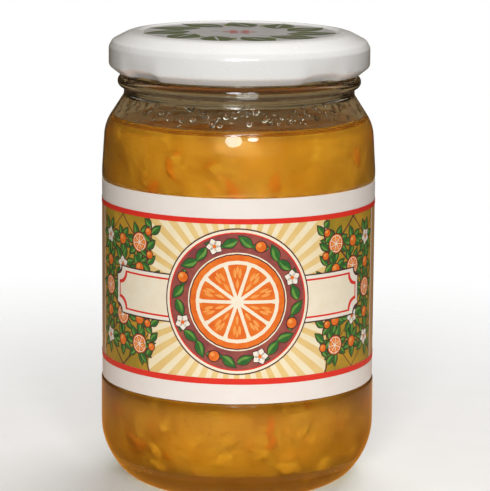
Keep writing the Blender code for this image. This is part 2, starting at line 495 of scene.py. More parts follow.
def make_glass():
    material, tree, shader = new_material(
        "clear jar glass", Roughness=0.015, IOR=1.5, Transmission_Weight=1.0, Specular_IOR_Level=0.5)
    paint(tree, shader, linear(247, 250, 245), linear(240, 246, 240), 30.0, 0.6)
    add_bump(tree, shader, add_mottle(tree, WHITE, BLACK, 45.0, 1.0), 0.35, 0.00035)
    see_through(tree, shader, linear(243, 247, 243))
    return material


GLASS = make_glass()
print("made", GLASS.name)

# %% [markdown]
# ## The jar's outline
# The outside starts at the middle of the foot, with a push-up and the standing ring round it. It goes on over
# the round heel, the body with a shallow recess for the label, the sloping shoulder, the neck, the bead that
# the hot jar was carried by, and the finish that the lid sits on.

# %% Lay out the jar's outside
SHOULDER_SLOPE = math.radians(32.8)  # from upright
HEEL_SLOPE = math.radians(35)
PUSH_UP_R, PUSH_UP_Z = 16.5, 2.0
STAND_R, FOOT_R = 20.0, 30.2
RECESS, RECESS_MARGIN = 0.4, 0.3
PANEL_R = BODY_R - RECESS
PANEL_LOW, PANEL_HIGH = LABEL_Z[0] - RECESS_MARGIN, LABEL_Z[1] + RECESS_MARGIN
LEAN_Z = 87.0  # the body leans in a little above this height
SHOULDER_R, SHOULDER_Z = 36.7, 99.3
NECK_R, BEAD_R, FINISH_R = 31.5, 33.2, 30.6
BEAD_Z = (109.4, 112.6)


def shoulder_z(r, corner_r, corner_z):
    """Height at radius r of the sloping shoulder that leaves an upright side at this corner."""
    return corner_z + (corner_r - r) / math.tan(SHOULDER_SLOPE)


def jar_outside():
    return [
        (0, PUSH_UP_Z, 0),
        (PUSH_UP_R, PUSH_UP_Z, 4.0),
        (STAND_R, 0, 0.6),
        (FOOT_R, 0, 12.0),
        (HEEL_R, (HEEL_R - FOOT_R) / math.tan(HEEL_SLOPE), 20.0),
        (HEEL_R, PANEL_LOW - RECESS, 0.5),
        (PANEL_R, PANEL_LOW, 0.2),
        (PANEL_R, PANEL_HIGH, 0.2),
        (BODY_R, PANEL_HIGH + RECESS, 0.5),
        (BODY_R, LEAN_Z, 30.0),
        (SHOULDER_R, SHOULDER_Z, 11.0),
        (NECK_R, shoulder_z(NECK_R, SHOULDER_R, SHOULDER_Z), 1.5),
        (NECK_R, BEAD_Z[0], 0.12),
        (BEAD_R, BEAD_Z[0], 1.5),
        (BEAD_R, BEAD_Z[1], 1.5),
        (FINISH_R, BEAD_Z[1], 0.5),
        (FINISH_R, RIM_Z, 1.1),
    ]


print("corners of the jar's outside:", len(jar_outside()))

# %% [markdown]
# The inside runs back down from the mouth to the floor. It has plainer lines, because the blown side of the
# glass only follows the mould softly. The filling needs the same lines a little further out or in, so the
# whole inside can be moved by an inset.

# %% Lay out the jar's inside
WALL = 2.6
MOUTH_R = 28.2
INNER_R = BODY_R - WALL
INNER_SHOULDER_Z, INNER_HEEL_Z = 97.7, 12.0
FLOOR_R, FLOOR_Z = 29.6, 4.0


def jar_inside(inset=0.0):
    """The inside of the jar, from the mouth down, moved outwards by an inset into the glass."""
    return [
        (MOUTH_R, RIM_Z, 1.1),
        (MOUTH_R + inset, shoulder_z(MOUTH_R, INNER_R, INNER_SHOULDER_Z), 4.0),
        (INNER_R + inset, INNER_SHOULDER_Z, 12.0),
        (INNER_R + inset, INNER_HEEL_Z, 20.0),
        (FLOOR_R + inset, FLOOR_Z - inset, 11.0),
        (0, FLOOR_Z - inset, 0),
    ]


print("corners of the jar's inside:", len(jar_inside()))

# %% [markdown]
# ## Mould seams
# The mould opens in two halves, and each leaves a fine upright ridge on the glass where it met the other. A
# bump could draw them, but a real ridge also catches the light at the jar's edge. The inside was blown and
# has none.

# %% Turn the jar
SEAM_ANGLES = (math.radians(97), math.radians(277))
SEAM_WIDTH = math.radians(0.9)
SEAM_HEIGHT = 0.12
SEAM_Z = (3, 108)


def turn_apart(angle, other):
    """How far apart two angles are, the short way round."""
    return abs((angle - other + math.pi) % (2 * math.pi) - math.pi)


def seam_ridge(angle, r, z):
    """Raises the outside of the glass along the two seams."""
    on_inside = abs(r - INNER_R) < 0.5 and z > 8
    if r < FOOT_R or on_inside or not SEAM_Z[0] < z < SEAM_Z[1]:
        return r, z
    near = min(turn_apart(angle, seam) for seam in SEAM_ANGLES)
    return r + SEAM_HEIGHT * math.exp(-(near / SEAM_WIDTH) ** 2), z


jar = turned("jar", rounded(jar_outside() + jar_inside()), shift=seam_ridge)
dress(jar, GLASS, "glass", "jar_glass")


# %% [markdown]
# ## The marmalade's finishes
# Marmalade is a clear amber jelly, cloudy with pulp, with shreds of peel in it. A volume shader could give
# the clouds, but it is slow and grainy, and an exported model can't hold it. So it is made as it is seen: a
# jelly skin that reaches just into the glass, so that no air shows between them; a cloudy core a little
# further in; and peel between the two. The skin bends light roughly, which blurs what lies behind it, and the
# deeper it lies the more, just as cloudy jelly does. Its amber shine keeps white glare off the fruit.

# %% Make the jelly materials
def make_jelly(name, roughness, shine, colour, deep):
    """Jelly bends light as much as glass does, so no edge shows where the two meet."""
    material, tree, shader = new_material(
        name, Roughness=roughness, IOR=1.5, Transmission_Weight=1.0, Specular_Tint=shine)
    paint(tree, shader, colour, deep, 110.0, 0.8)
    add_bump(tree, shader, add_mottle(tree, WHITE, BLACK, 300.0, 1.0), 0.15, 0.0005)
    see_through(tree, shader, linear(251, 234, 190))
    return material


JELLY = make_jelly(
    "cloudy amber jelly", 0.5, linear(220, 130, 30), linear(250, 224, 158), linear(247, 212, 136))
# The wet top is smoother, and its darker colour is painted shade for the dim light under the lid.
WET_AND_SHADED_TOP = make_jelly("wet top of the jelly, painted darker", 0.06, WHITE, linear(212, 150, 92), linear(196, 132, 76))
print("jelly materials:", JELLY.name, "and", WET_AND_SHADED_TOP.name)


# %% [markdown]
# Pulp and peel are dull and soft: light goes a few millimetres in and comes out warmer, which is what
# subsurface scattering does. Each kind has deep clouds and paler flecks over its main colour. The rind is the
# outer orange skin, the zest is cut a little deeper, and the pith is the pale layer under them, and the
# jelly colours all three.

# %% Make the pulp and peel materials
def make_fruit(name, colour, deep, pale, patches, scatter):
    material, tree, shader = new_material(
        name, Roughness=0.5, Specular_IOR_Level=0.0, Diffuse_Roughness=1.0,
        Subsurface_Weight=0.4, Subsurface_Scale=scatter, Subsurface_Radius=(1.0, 0.7, 0.35))
    clouds = add_mottle(tree, colour, deep, patches, 1.0)
    paint(tree, shader, clouds.outputs["Colour"], pale, patches * 3.1, 0.5)
    add_bump(tree, shader, clouds, 0.5, 0.0008)
    return material


FRUIT = {
    kind: make_fruit(name, linear(*colour), linear(*deep), linear(*pale), patches, scatter)
    for kind, name, colour, deep, pale, patches, scatter in (
        ("pulp", "cloudy pulp", (192, 146, 50), (168, 116, 28), (204, 162, 70), 62.0, 0.008),
        ("rind", "orange rind", (195, 115, 25), (184, 102, 18), (204, 130, 42), 200.0, 0.004),
        ("zest", "amber zest", (194, 142, 52), (178, 118, 32), (202, 156, 70), 200.0, 0.003),
        ("pith", "pale pith", (202, 155, 58), (190, 138, 44), (208, 166, 74), 160.0, 0.006),
    )
}
print("fruit materials:", [item.name for item in FRUIT.values()])

# %% [markdown]
# ## The jelly
# The jelly fills the jar to the middle of the shoulder. It uses the jar's own inside lines, moved a hair into
# the glass. The top of a set marmalade is soft and lumpy, and climbs a little where it wets the glass: three
# waves that fade out at the axis and the wall give the lumps. The top also has a wet shine of its own, so its
# faces get a smoother material. That material is also darker than the jelly: painted shade for the dim lamp
# light that reaches the top under the lid.

# %% Turn the jelly
LEVEL_Z = 100.6
LEVEL_CLIMB = 0.5
TOP_R = 32.6  # of the marmalade's top
SKIN_REACH = 0.06  # how far the jelly reaches into the glass wall
FILLING_SIDES = 180
CLIMB_ROW, TOP_ROW = 0.35, 1.2  # width of the rows at the wall, where the top climbs, and further in


def surface_lumps(angle, r):
    """Height of the marmalade's top over its level, in millimetres."""
    low = 0.35 * math.sin(3 * angle + 0.22 * r) + 0.25 * math.cos(5 * angle - 0.31 * r)
    fine = 0.16 * math.sin(11 * angle + 0.9 * r) * math.cos(0.7 * r - 4 * angle)
    climb = LEVEL_CLIMB * math.exp(-max(0.0, TOP_R - r) / 1.1)
    return (low + fine) * math.sin(math.pi * min(1.0, r / TOP_R) ** 2) + climb


def fruit_outline(inset, top_z):
    """From the axis along the jar's inside and up to the marmalade's top, then back to the axis."""
    lowest_first = jar_inside(inset)[::-1]
    corner = lowest_first[-3]
    edge_r = corner[0] - (top_z - corner[1]) * math.tan(SHOULDER_SLOPE)
    top_radii = [edge_r - CLIMB_ROW * step for step in range(1, 9)]
    while top_radii[-1] > 1.5:
        top_radii.append(top_radii[-1] - TOP_ROW)
    return rounded(lowest_first[:-2] + [(r, top_z, 0) for r in [edge_r, *top_radii, 0]])


def lumpy_top(angle, r, z):
    return (r, z + surface_lumps(angle, r)) if abs(z - LEVEL_Z) < 1e-3 else (r, z)


jelly = turned("jelly", fruit_outline(SKIN_REACH, LEVEL_Z), FILLING_SIDES, lumpy_top)
dress(jelly, JELLY, "marmalade", "marmalade")
# The top's faces get the smooth material, whose darker colour is painted shade.
jelly.data.materials.append(WET_AND_SHADED_TOP)
top_faces = [face for face in jelly.data.polygons
             if face.normal.z > 0.5 and face.center.z > (LEVEL_Z - 1.5) * MM]
for face in top_faces:
    face.material_index = 1
print(len(top_faces), "faces of the jelly are its wet top")

# %% [markdown]
# ## The pulp core
# Two millimetres into the marmalade nothing can be made out any more but lighter and darker clouds. That
# depth is a closed core with a wavy side, under the same lumpy top. Its outline is split into short steps, or
# else the waves would have no points to move.

# %% Turn the pulp core
CORE_DEPTH = 2.1
CORE_STEP = 1.5
WAVES_Z = (8, LEVEL_Z - 6)


def core_waves(angle, r, z):
    if abs(z - LEVEL_Z + CORE_DEPTH) < 1e-3:
        return r, z + surface_lumps(angle, r)
    if not WAVES_Z[0] < z < WAVES_Z[1]:
        return r, z
    swell = 0.35 * math.sin(7 * angle + 0.35 * z) + 0.3 * math.cos(11 * angle - 0.5 * z)
    swell += 0.22 * math.sin(19 * angle + 1.1 * z) * math.cos(0.8 * z - 6 * angle)
    return r + swell, z


core_line = fruit_outline(-CORE_DEPTH, LEVEL_Z - CORE_DEPTH)
core_rows = []
for one, other in zip(core_line, core_line[1:]):
    steps = max(1, math.ceil((other - one).length / CORE_STEP))
    core_rows += [one.lerp(other, step / steps) for step in range(steps)]
core = turned("pulp_core", core_rows + [core_line[-1]], FILLING_SIDES, core_waves)
dress(core, FRUIT["pulp"], "marmalade")

# %% [markdown]
# ## Where the peel can lie
# Peel follows the inside of the glass, also round the heel and in the shoulder, so its helper has to know how
# wide the jar is at each height. That is read off the rounded outline, point by point. Peel, drops and paper
# are all built from rings of points, so another helper joins two rings with a band of faces.

# %% Helpers for the inside of the glass
WALL_LINE = [(point.y, point.x) for point in rounded(jar_inside())[::-1]]


def wall_radius(z):
    """Radius of the jar's inside at a height, read off its rounded outline."""
    for (low_z, low_r), (high_z, high_r) in zip(WALL_LINE, WALL_LINE[1:]):
        if low_z <= z <= high_z:
            return low_r + (high_r - low_r) * (z - low_z) / max(high_z - low_z, 1e-6)
    return INNER_R


def kept_in(value, limits):
    return min(max(value, limits[0]), limits[1])


def bridge(mesh, low, high):
    """A band of faces between two rings of as many points."""
    for side in range(len(low)):
        after = (side + 1) % len(low)
        mesh.faces.new((low[side], low[after], high[after], high[side]))


print("width of the inside:", [(z, round(2 * wall_radius(z), 1)) for z in (8, 50, 105)])

# %% [markdown]
# ## One piece of peel
# The peel is cut into short bits, 4 to 11 mm long and 2 to 6 mm wide, bent, lumpy and narrower at the ends. A
# curve with a bevel would give an even round rod. Instead each bit is a row of flat rings, swept along a bent
# line on the glass, and kept clear of the floor and of the marmalade's top.

# %% Helper that shapes one piece of peel
SHRED_STEPS, SHRED_SIDES = 11, 10
MIDDLE_Z = (FLOOR_Z + 2.5, LEVEL_Z - 0.8)  # where a shred's middle line stays
EDGE_Z = (FLOOR_Z + 1.2, LEVEL_Z - 1.4)  # and where its edges do


def add_shred(mesh, draw, angle, z, depth, length, width, thick):
    """Sweeps one piece of peel along a bent line, at a depth behind the glass."""
    tilt = draw.uniform(-math.pi / 2, math.pi / 2)
    bend = draw.uniform(-0.6, 0.6)
    twist = draw.uniform(-0.6, 0.6)
    lump_from, lump_turn = draw.uniform(0, 6), draw.uniform(5, 10)
    rings = []
    for step in range(SHRED_STEPS):
        along = step / (SHRED_STEPS - 1) - 0.5
        heading = tilt + bend * along * 2
        s = math.cos(heading) * along * length
        here_z = kept_in(z + math.sin(heading) * along * length, MIDDLE_Z)
        outer = wall_radius(here_z) - depth
        slim = math.sqrt(max(0.04, 1 - abs(2 * along) ** 3))
        lumpy = 1 + 0.22 * math.sin(lump_from + lump_turn * along)
        ring = []
        for side in range(SHRED_SIDES):
            turn = 2 * math.pi * side / SHRED_SIDES + twist * along
            across = math.cos(turn) * width / 2 * slim * lumpy
            inward = math.sin(turn) * thick / 2 * slim
            r = outer - thick / 2 + inward - 0.4 * thick * abs(2 * along)
            around = angle + (s - math.sin(heading) * across) / outer
            point_z = kept_in(here_z + math.cos(heading) * across, EDGE_Z)
            ring.append(mesh.verts.new(on_cylinder(r, around, point_z)))
        rings.append(ring)
    for one, other in zip(rings, rings[1:]):
        bridge(mesh, one, other)
    mesh.faces.new(rings[0][::-1])
    mesh.faces.new(rings[-1])


print("a shred has", SHRED_STEPS * SHRED_SIDES, "points")

# %% [markdown]
# ## The peel
# The bits lie every way, mostly flat along the glass: a few near it and sharp, most of them half sunk in the
# core and blurred. None are needed behind the label. A seeded random generator lays them out, so that
# they come out the same each time, and each kind of peel is one mesh.

# %% Scatter the peel
ABOVE_LABEL, BELOW_LABEL = (84, 99.5), (8, 33)


def scatter_peel(kind, count, seed, length, width, thick, depth):
    draw = random.Random(seed)
    mesh = bmesh.new()
    for number in range(count):
        z = draw.uniform(*(ABOVE_LABEL if number % 5 < 2 else BELOW_LABEL))
        add_shred(mesh, draw, draw.uniform(-math.pi, math.pi), z, draw.uniform(*depth),
                  draw.uniform(*length), draw.uniform(*width), draw.uniform(*thick))
    bmesh.ops.recalc_face_normals(mesh, faces=mesh.faces[:])
    dress(finish_mesh(f"peel_{kind}", mesh), FRUIT[kind], "marmalade")


scatter_peel("rind", 80, 3, (4, 11), (1.6, 3.4), (1.4, 2.2), (0.9, 2.0))
scatter_peel("zest", 90, 5, (4, 10), (2.4, 4.6), (1.6, 2.6), (1.3, 2.3))
scatter_peel("pith", 110, 8, (4, 9.5), (2.6, 6.2), (1.8, 3.0), (1.35, 2.1))

# %% [markdown]
# ## Drops in the air space
# Steam from the hot fill left small drops of water on the inside of the glass, above the marmalade. A bump
# would not bend what is seen through them, so they are modelled: flat little domes that break up whatever
# is seen or mirrored there. A drop is a few rings of points and a top, on the slope of the shoulder.

# %% Helper that shapes one drop
DROP_ROWS, DROP_SIDES = 3, 10
DROP_LIFT = 0.42  # of its radius
DROP_SINK = 0.03  # mm of its rim in the glass


def add_drop(mesh, angle, z, size):
    """A low dome on the inside of the shoulder."""
    slope = math.pi / 2 - SHOULDER_SLOPE
    wall_r = INNER_R - (z - INNER_SHOULDER_Z) * math.tan(SHOULDER_SLOPE) + DROP_SINK
    rings = []
    for row in range(DROP_ROWS):
        lift = DROP_LIFT * size * math.sin(row / DROP_ROWS * math.pi / 2)
        spread = size * math.cos(row / DROP_ROWS * math.pi / 2)
        ring = []
        for side in range(DROP_SIDES):
            turn = 2 * math.pi * side / DROP_SIDES
            up_slope = spread * math.sin(turn) * 1.15
            here_z = z + up_slope * math.sin(slope) - lift * math.cos(slope)
            r = wall_r - up_slope * math.cos(slope) - lift * math.sin(slope)
            ring.append(mesh.verts.new(on_cylinder(r, angle + spread * math.cos(turn) / r, here_z)))
        rings.append(ring)
    lift = DROP_LIFT * size
    top = mesh.verts.new(on_cylinder(wall_r - lift * math.sin(slope), angle, z - lift * math.cos(slope)))
    for low, high in zip(rings, rings[1:]):
        bridge(mesh, low, high)
    for side in range(DROP_SIDES):
        mesh.faces.new((rings[-1][side], rings[-1][(side + 1) % DROP_SIDES], top))
    mesh.faces.new(rings[0][::-1])


print("a drop has", DROP_ROWS * DROP_SIDES + 1, "points")


# %% [markdown]
# Most drops are tiny and a few are large, so the random size is cubed. They thin out towards the marmalade.
# They bend light a good deal more than water does: in the photograph they are bright points on the dark
# glass, and small meshes of real water look dull next to that.

# %% Scatter the drops
DROP_COUNT = 520
DROP_FOOT, DROP_BAND = LEVEL_Z + 1.6, 4.8
DROP_SIZE, DROP_GROWTH = 0.2, 0.75


def make_water():
    material, tree, shader = new_material(
        "drops of water", Roughness=0.03, IOR=1.7, Transmission_Weight=1.0)
    paint(tree, shader, linear(250, 246, 236), linear(244, 236, 220), 400.0, 0.6)
    see_through(tree, shader, linear(248, 244, 236))
    return material


draw = random.Random(14)
drop_mesh = bmesh.new()
for _ in range(DROP_COUNT):
    z = DROP_FOOT + DROP_BAND * draw.random() ** 0.8
    size = DROP_SIZE + DROP_GROWTH * draw.random() ** 3
    add_drop(drop_mesh, draw.uniform(-math.pi, math.pi), z, size)
bmesh.ops.recalc_face_normals(drop_mesh, faces=drop_mesh.faces[:])
dress(finish_mesh("drops", drop_mesh), make_water(), "glass")

# %% [markdown]
# ## The label
# The label is one sheet of paper round the jar, 55 mm high. Its print could be an image on the paper, but
# shapes stay sharp however near one looks. They are laid out flat, in millimetres along the paper (s, from
# the middle of the front) and up (t, the height). Each colour of each layer becomes its own thin sheet, a
# little above the last, as inks are printed one over another.

# %% Helpers that keep flat shapes to print
prints = {}


def ink(layer, colour, shape):
    """Keeps a flat shape, a list of (s, t) points, to be printed in this colour and layer."""
    twice_area = sum(a[0] * b[1] - b[0] * a[1] for a, b in zip(shape, shape[1:] + shape[:1]))
    prints.setdefault((layer, colour), []).append(shape if twice_area > 0 else shape[::-1])


def moved(shape, s, t, angle=0.0):
    """The shape turned by an angle and moved to a place."""
    c, n = math.cos(angle), math.sin(angle)
    return [(s + x * c - y * n, t + x * n + y * c) for x, y in shape]


print("a point moved by a quarter turn:", [round(v, 3) for v in moved([(1, 0)], 0, 0, math.pi / 2)[0]])

# %% [markdown]
# Round the jar the paper is a row of narrow flat facets. A flat shape can't simply be bent, or its long edges
# would cut through the paper, so each is first cut at the same upright lines where the paper has its folds.
# Then every point goes to its place on a facet.

# %% Helpers that wrap the shapes round the jar
PAPER_OUT = LABEL_R - 0.04
PAPER_IN = PAPER_OUT - 0.12
OPENING = 8.0  # at the back
HALF_WRAP = math.pi * PAPER_OUT - OPENING / 2
FACET = math.radians(1.5)
FOLD = FACET * PAPER_OUT
INK_STEP = 0.007


def flat_cut(shapes):
    """A flat mesh of the shapes, cut at every upright line where the wrapped paper has a fold."""
    mesh = bmesh.new()
    for shape in shapes:
        mesh.faces.new([mesh.verts.new((s, t, 0)) for s, t in shape])
    lowest = min(s for shape in shapes for s, t in shape)
    highest = max(s for shape in shapes for s, t in shape)
    for number in range(math.ceil(lowest / FOLD), math.floor(highest / FOLD) + 1):
        everything = mesh.verts[:] + mesh.edges[:] + mesh.faces[:]
        bmesh.ops.bisect_plane(mesh, geom=everything, plane_co=(number * FOLD, 0, 0), plane_no=(1, 0, 0))
    bmesh.ops.triangulate(mesh, faces=mesh.faces[:])
    return mesh


def wrap(mesh, layer):
    r = PAPER_OUT + layer * INK_STEP
    for vert in mesh.verts:
        s, t = vert.co.x, vert.co.y
        number = math.floor(s / FOLD)
        low, high = on_cylinder(r, number * FACET, t), on_cylinder(r, (number + 1) * FACET, t)
        vert.co = low.lerp(high, s / FOLD - number)


print(f"the paper is {2 * HALF_WRAP:.0f} mm long, in facets of {FOLD:.2f} mm")


# %% [markdown]
# ## Paper and inks
# The label is coated paper: a little shiny, with a faint fibre under the coat. Printed ink lies on it so thin
# that it keeps the paper's grain, so both share one recipe and differ in colour alone. No ink is quite even,
# and the larger the field, the wider its clouds.

# %% Make the paper and ink materials
def make_paper(name, colour, other, patches, strength):
    material, tree, shader = new_material(name, Roughness=0.42, Specular_IOR_Level=0.35)
    paint(tree, shader, linear(*colour), linear(*other), patches, strength)
    add_bump(tree, shader, add_mottle(tree, WHITE, BLACK, 2600.0, 1.0), 0.25, 0.0001)
    return material


INKS = {
    "ground": make_paper("gold ground", (246, 214, 148), (234, 196, 116), 75.0, 0.9),
    "orchard": make_paper("olive gold ground", (206, 156, 48), (150, 132, 38), 90.0, 0.9),
    "rays": make_paper("pale gold ink", (253, 240, 206), (250, 230, 186), 120.0, 0.8),
    "tan": make_paper("tan ground", (206, 158, 104), (192, 142, 88), 120.0, 0.7),
    "red": make_paper("red ink", (238, 56, 40), (226, 46, 34), 300.0, 0.6),
    "dark": make_paper("dark plum ink", (74, 38, 50), (92, 52, 50), 500.0, 0.8),
    "twig": make_paper("twig brown ink", (122, 76, 48), (96, 58, 44), 400.0, 0.9),
    "plum": make_paper("plum brown ink", (170, 92, 76), (134, 64, 68), 260.0, 0.9),
    "leaf": make_paper("leaf green ink", (62, 122, 54), (42, 98, 48), 500.0, 0.9),
    "light_leaf": make_paper("light green ink", (122, 168, 74), (92, 148, 64), 500.0, 0.9),
    "orange": make_paper("orange ink", (244, 128, 42), (230, 100, 28), 420.0, 0.9),
    "light_orange": make_paper("light orange ink", (252, 172, 92), (248, 152, 66), 600.0, 0.8),
    "cream": make_paper("cream ink", (253, 242, 218), (248, 232, 200), 300.0, 0.6),
    "white": make_paper("warm white ink", (252, 244, 230), (246, 232, 208), 500.0, 0.6),
}
PAPER = make_paper("label paper", (248, 240, 232), (243, 232, 222), 120.0, 0.6)
print(len(INKS), "inks and the paper")


# %% [markdown]
# ## Shapes to print
# The front shows a cut orange in a ring of leaves, between two bare name plates, over pale rays and a leafy
# trellis with slices and blossoms in it. All of that is built up from a few plain shapes: a disc, a pointed
# leaf, an upright block and the wedge of a slice.

# %% Helpers for plain shapes
def disc(radius, points=28):
    return [(radius * math.cos(2 * math.pi * k / points), radius * math.sin(2 * math.pi * k / points))
            for k in range(points)]


def leaf_shape(length, width, lower=1.0):
    """A pointed leaf along x; its lower half can be made slimmer, or turned up to leave the upper one."""
    xs = [k / 10 for k in range(11)]
    edge = [(length * x, width / 2 * math.sin(math.pi * x ** 0.85)) for x in xs]
    return [(x, -y * lower) for x, y in edge] + edge[-2:0:-1]


def wedge(inner, outer, half_angle, gap):
    """One juicy segment of a slice, pointing along x, with a gap to its neighbours."""
    low = max(inner, gap / math.sin(half_angle))
    arc = [-half_angle * 0.8 + half_angle * 1.6 * k / 6 for k in range(7)]
    rim = [(outer * math.cos(a), outer * math.sin(a)) for a in arc]
    side = math.tan(half_angle) * (outer * 0.86) - gap
    return [(low, 0), (outer * 0.86, -side)] + rim + [(outer * 0.86, side)]


def block(s_low, t_low, s_high, t_high):
    return [(s_low, t_low), (s_high, t_low), (s_high, t_high), (s_low, t_high)]


print("a leaf has", len(leaf_shape(5, 2)), "points")


# %% [markdown]
# ## Motifs
# A motif is a small stack of shapes: a dark one first, and then smaller ones in colour on top, so that the
# dark one is left showing as an outline. A leaf gets a lighter half, a blossom five petals round an orange
# middle, and a berry a light spot.

# %% Helpers that print leaves, blossoms and berries
def print_leaf(layer, s, t, angle, length, width):
    outline = leaf_shape(length + 0.5, width + 0.5)
    ink(layer, "dark", moved(outline, s - 0.22 * math.cos(angle), t - 0.22 * math.sin(angle), angle))
    ink(layer + 1, "leaf", moved(leaf_shape(length, width), s, t, angle))
    ink(layer + 2, "light_leaf", moved(leaf_shape(length * 0.84, width * 0.74, lower=-0.12), s, t, angle))


def print_blossom(layer, s, t, radius, start=0.0):
    petal = leaf_shape(radius, radius * 0.82)
    outline = leaf_shape(radius + 0.3, radius * 0.82 + 0.55)
    for number in range(5):
        angle = start + 2 * math.pi * number / 5
        ink(layer, "dark", moved(outline, s - 0.1 * math.cos(angle), t - 0.1 * math.sin(angle), angle))
        ink(layer + 1, "white", moved(petal, s, t, angle))
    ink(layer + 2, "orange", moved(disc(radius * 0.24, 14), s, t))


def print_berry(layer, s, t, radius):
    ink(layer, "dark", moved(disc(radius + 0.25, 16), s, t))
    ink(layer + 1, "orange", moved(disc(radius, 16), s, t))
    ink(layer + 2, "light_orange", moved(disc(radius * 0.42, 12), s - radius * 0.3, t + radius * 0.32))


print("a leaf, a blossom and a berry can be printed")


# %% [markdown]
# A cut orange has its rind, its white and a ring of juicy wedges, each with a lighter shine. On a large slice
# the shine breaks up into single drops of pulp, as one sees them from near.

# %% Helper that prints a slice
JUICE_DROPS = ((0.28, 0, 0.22), (0.5, 0.45, 0.22), (0.5, -0.45, 0.22), (0.6, 0, 0.17))  # place, lean, length
LARGE_SLICE = 6  # mm of radius


def print_slice(layer, s, t, radius, segments, start=0.0):
    ink(layer, "dark", moved(disc(radius + 0.3), s, t))
    ink(layer + 1, "orange", moved(disc(radius), s, t))
    ink(layer + 2, "cream", moved(disc(radius * 0.88), s, t))
    half = math.pi / segments
    for number in range(segments):
        angle = start + 2 * half * number
        body = wedge(radius * 0.12, radius * 0.8, half, radius * 0.035)
        ink(layer + 3, "orange", moved(body, s, t, angle))
        if radius < LARGE_SLICE:
            shine = wedge(radius * 0.3, radius * 0.66, half * 0.62, radius * 0.03)
            ink(layer + 4, "light_orange", moved(shine, s, t, angle))
            continue
        for near, lean, length in JUICE_DROPS:
            way = angle + lean * half * 0.62
            drop = leaf_shape(length * radius, 0.062 * radius)
            ink(layer + 4, "light_orange", moved(
                drop, s + near * radius * math.cos(way), t + near * radius * math.sin(way), way))


print("a large slice has", len(JUICE_DROPS), "drops in each wedge")

# %% [markdown]
# ## Grounds and stripes
# The paper keeps a bare white margin above and below. A red stripe runs round the jar inside each margin, and
# between the stripes lies the gold ground of the picture, with a tan panel on both sides of it that
# goes on round to the back.

# %% Lay out the grounds and stripes
MARGIN = 5.3
STRIPE_LOW, STRIPE_HIGH = 1.6, 1.4
PICTURE_LOW = LABEL_Z[0] + MARGIN + STRIPE_LOW
PICTURE_HIGH = LABEL_Z[1] - MARGIN - STRIPE_HIGH
PICTURE_HALF = 48.5
PICTURE_GAP = 0.6
MIDDLE = (PICTURE_LOW + PICTURE_HIGH) / 2
HALF_HEIGHT = (PICTURE_HIGH - PICTURE_LOW) / 2

ink(1, "ground", block(-PICTURE_HALF, PICTURE_LOW, PICTURE_HALF, PICTURE_HIGH))
ink(1, "tan", block(PICTURE_HALF + PICTURE_GAP, PICTURE_LOW, HALF_WRAP, PICTURE_HIGH))
ink(1, "tan", block(-HALF_WRAP, PICTURE_LOW, -PICTURE_HALF - PICTURE_GAP, PICTURE_HIGH))
ink(12, "red", block(-HALF_WRAP, LABEL_Z[0] + MARGIN, HALF_WRAP, PICTURE_LOW))
ink(12, "red", block(-HALF_WRAP, PICTURE_HIGH, HALF_WRAP, LABEL_Z[1] - MARGIN))
print(f"picture {2 * PICTURE_HALF:.0f} x {2 * HALF_HEIGHT:.1f} mm")


# %% [markdown]
# ## Rays
# Behind the cut orange, pale rays fan out over the gold ground. Each is a long thin triangle from the middle,
# cut off at the edges of its field one side after another: whatever lies beyond a line is dropped, and a
# new corner comes in where an edge crosses the line. To both sides of the field the ground is olive.

# %% Lay out the pale rays
RAYS = 44
RAY_LENGTH = 45.0
FIELD_HALF = 25.5


def cut(shape, x, y, limit):
    """The part of a shape where s * x + t * y is over a limit."""
    kept = []
    for a, b in zip(shape, shape[1:] + shape[:1]):
        in_a, in_b = a[0] * x + a[1] * y - limit, b[0] * x + b[1] * y - limit
        if in_a >= 0:
            kept.append(a)
        if in_a * in_b < 0:
            share = in_a / (in_a - in_b)
            kept.append((a[0] + (b[0] - a[0]) * share, a[1] + (b[1] - a[1]) * share))
    return kept


def on_picture(shape, half_width=PICTURE_HALF):
    """The part of a shape that lies on the picture, or on a band of it this far to each side."""
    for line in ((1, 0, -half_width), (-1, 0, -half_width), (0, 1, PICTURE_LOW), (0, -1, -PICTURE_HIGH)):
        shape = cut(shape, *line)
    return shape


for side in (-1, 1):
    ink(2, "orchard", block(side * FIELD_HALF, PICTURE_LOW, side * PICTURE_HALF, PICTURE_HIGH))
for number in range(RAYS):
    way = 2 * math.pi * (number + 0.5) / RAYS
    spread = math.pi / RAYS * 0.5
    ends = [(RAY_LENGTH * math.cos(edge), MIDDLE + RAY_LENGTH * math.sin(edge))
            for edge in (way - spread, way + spread)]
    ink(2, "rays", on_picture([(0.0, MIDDLE)] + ends, FIELD_HALF))
print("rays:", RAYS)

# %% [markdown]
# ## The trellis
# The olive grounds carry a trellis of crossed brown bars. They are a little wavy and uneven, like lines drawn
# with a brush, and each is cut off at the field of rays and at the picture's edge.

# %% Lay out the trellis bars
COLUMN = 7.2
ROWS = 6
ROW = 2 * HALF_HEIGHT / ROWS
BAR = 0.3
BAR_STEPS = 24


def bar_shape(s_low, s_high):
    """A trellis bar across the picture's whole height."""
    near, far = [], []
    for step in range(BAR_STEPS + 1):
        share = step / BAR_STEPS
        s = s_low + (s_high - s_low) * share
        width = BAR * (1 + 0.35 * math.sin(9 * share + s_low))
        wave = 0.3 * math.sin(13 * share + 0.7 * s_low)
        t = PICTURE_LOW + 2 * HALF_HEIGHT * share
        near.append((s + wave - width, t))
        far.append((s + wave + width, t))
    return near + far[::-1]


